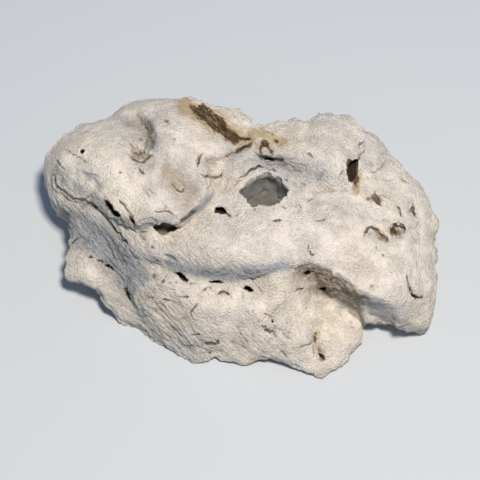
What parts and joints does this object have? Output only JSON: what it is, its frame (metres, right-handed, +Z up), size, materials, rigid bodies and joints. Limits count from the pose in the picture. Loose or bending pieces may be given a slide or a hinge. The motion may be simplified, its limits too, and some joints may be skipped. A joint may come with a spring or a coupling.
{
  "type": "holey rock",
  "caption": "Lump of chalky white limestone with a lens-shaped eye hole, small bored holes, ledges and a cave under its overhanging wing; lies loose on a table or shelf",
  "frame": {"origin": "middle of the rock's box, at the level of the surface that it lies on", "axes": "+X along the rock's length, from its head to its wing, +Y towards its back, +Z up"},
  "size_m": [0.1598, 0.1126, 0.05],
  "materials": {
    "limestone": "chalky matt cream-white limestone with brown stains in its hollows"
  },
  "bodies": {
    "root": {"rock": "limestone"}
  },
  "joints": []
}
